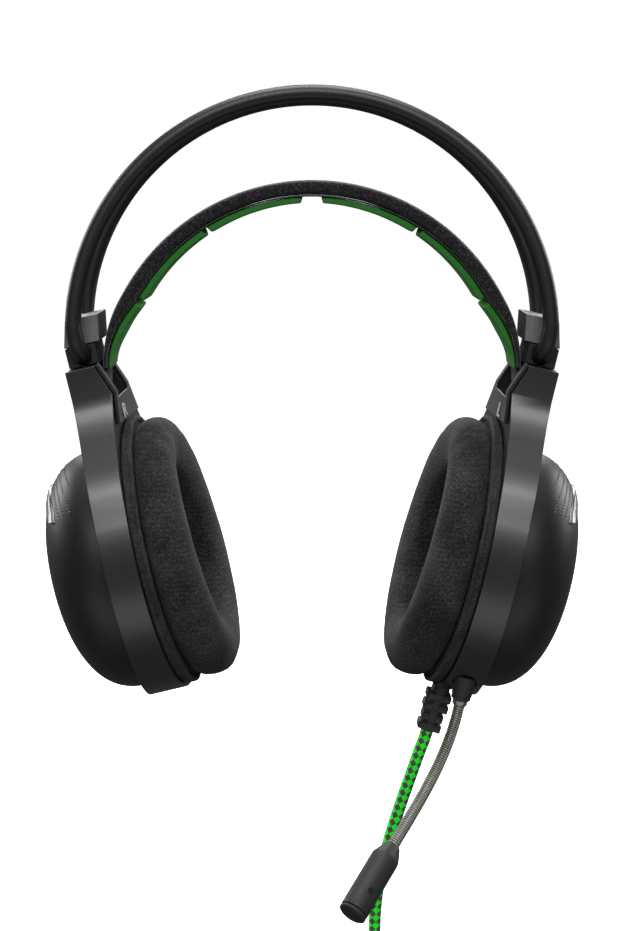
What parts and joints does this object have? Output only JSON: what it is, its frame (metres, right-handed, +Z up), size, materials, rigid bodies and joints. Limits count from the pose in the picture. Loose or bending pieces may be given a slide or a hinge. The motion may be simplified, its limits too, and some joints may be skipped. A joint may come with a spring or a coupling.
{
  "type": "gaming headset",
  "caption": "Over-ear wired gaming headset with twin tube headband, sprung head strap, tilting ear cups, fabric cushions, gooseneck microphone and braided lead.",
  "frame": {"origin": "middle of the head strap's underside, where the wearer's head carries the headset", "axes": "+Z up, +X towards the wearer's left cup, which carries the microphone and the lead, -Y towards the wearer's front"},
  "size_m": [0.2008, 0.1257, 0.3936],
  "materials": {
    "satin_grey": "satin grey coating on moulded ABS",
    "pale_grey": "pale satin grey coating",
    "black_plastic": "fine textured black ABS",
    "black_gloss": "semi-gloss black shell",
    "soft_rubber": "soft-touch black sleeve",
    "mesh_fabric": "black knitted fabric over foam",
    "green_foam": "green fabric-faced foam",
    "green_braid": "bright green and dark braid",
    "steel": "satin steel",
    "gold": "gold plated brass",
    "nylon": "natural nylon",
    "film": "thin polyester film",
    "board": "potentiometer body"
  },
  "bodies": {
    "band": {"tube_front": "soft_rubber", "tube_rear": "soft_rubber"},
    "strap": {"strap_padding": "mesh_fabric", "strap_backing": "black_plastic", "left_pad_upper": "green_foam", "left_pad_middle": "green_foam", "left_pad_lower": "green_foam", "right_pad_upper": "green_foam", "right_pad_middle": "green_foam", "right_pad_lower": "green_foam", "left_strap_tail": "mesh_fabric", "left_strap_clip": "black_plastic", "right_strap_tail": "mesh_fabric", "right_strap_clip": "black_plastic"},
    "left_cup": {"left_arm_frame": "satin_grey", "left_pivot_block": "black_plastic", "left_front_bush": "nylon", "left_rear_bush": "nylon", "left_arm_cap": "pale_grey", "left_inner_cover": "black_plastic", "left_outer_shell": "black_gloss", "left_trim_arc": "steel", "left_baffle": "black_plastic", "left_driver_basket": "black_plastic", "left_driver_magnet": "steel", "left_diaphragm": "film", "left_driver_cloth": "mesh_fabric", "left_cushion_plate": "mesh_fabric", "left_ear_cushion": "mesh_fabric", "mic_boss": "black_plastic", "volume_control": "board", "strain_relief": "soft_rubber", "cord_lead": "green_braid", "cord_coil": "green_braid", "cord_tie": "mesh_fabric", "cord_tail": "green_braid", "plug_body": "soft_rubber", "plug_pin": "gold"},
    "right_cup": {"right_arm_frame": "satin_grey", "right_pivot_block": "black_plastic", "right_front_bush": "nylon", "right_rear_bush": "nylon", "right_arm_cap": "pale_grey", "right_inner_cover": "black_plastic", "right_outer_shell": "black_gloss", "right_trim_arc": "steel", "right_baffle": "black_plastic", "right_driver_basket": "black_plastic", "right_driver_magnet": "steel", "right_diaphragm": "film", "right_driver_cloth": "mesh_fabric", "right_cushion_plate": "mesh_fabric", "right_ear_cushion": "mesh_fabric"},
    "mic_lower": {"mic_neck_lower": "steel"},
    "mic_middle": {"mic_neck_middle": "steel"},
    "mic_upper": {"mic_neck_upper": "steel", "mic_housing": "black_plastic", "mic_element": "steel", "mic_end_cap": "pale_grey"},
    "volume_wheel": {"volume_wheel": "soft_rubber"}
  },
  "joints": [
    {"name": "left_arm_tilt", "type": "hinge", "parent": "band", "child": "left_cup", "pos_m": [0.08461, 0, -0.05854], "axis": [0, -1, 0], "range_deg": [-3, 5]},
    {"name": "right_arm_tilt", "type": "hinge", "parent": "band", "child": "right_cup", "pos_m": [-0.08461, 0, -0.05854], "axis": [0, 1, 0], "range_deg": [-3, 5]},
    {"name": "strap_slide", "type": "slide", "parent": "band", "child": "strap", "axis": [0, 0, 1], "range_m": [0, 0.014], "stiffness_N_per_m": 180, "springref_m": -0.01},
    {"name": "mic_bend_lower", "type": "hinge", "parent": "left_cup", "child": "mic_lower", "pos_m": [0.0545, -0.024, -0.1846], "axis": [-0.8128, 0.5773, 0.0783], "range_deg": [-12, 25]},
    {"name": "mic_bend_middle", "type": "hinge", "parent": "mic_lower", "child": "mic_middle", "pos_m": [0.048, -0.03152, -0.20177], "axis": [-0.3779, -0.6247, 0.6834], "range_deg": [-25, 25]},
    {"name": "mic_bend_upper", "type": "hinge", "parent": "mic_middle", "child": "mic_upper", "pos_m": [0.03856, -0.0443, -0.21481], "axis": [-0.8128, 0.5773, 0.0783], "range_deg": [-20, 25]},
    {"name": "volume_turn", "type": "hinge", "parent": "left_cup", "child": "volume_wheel", "pos_m": [0.06726, 0.0386, -0.1315], "axis": [0.972, 0, -0.2351], "range_deg": [-135, 135]}
  ]
}
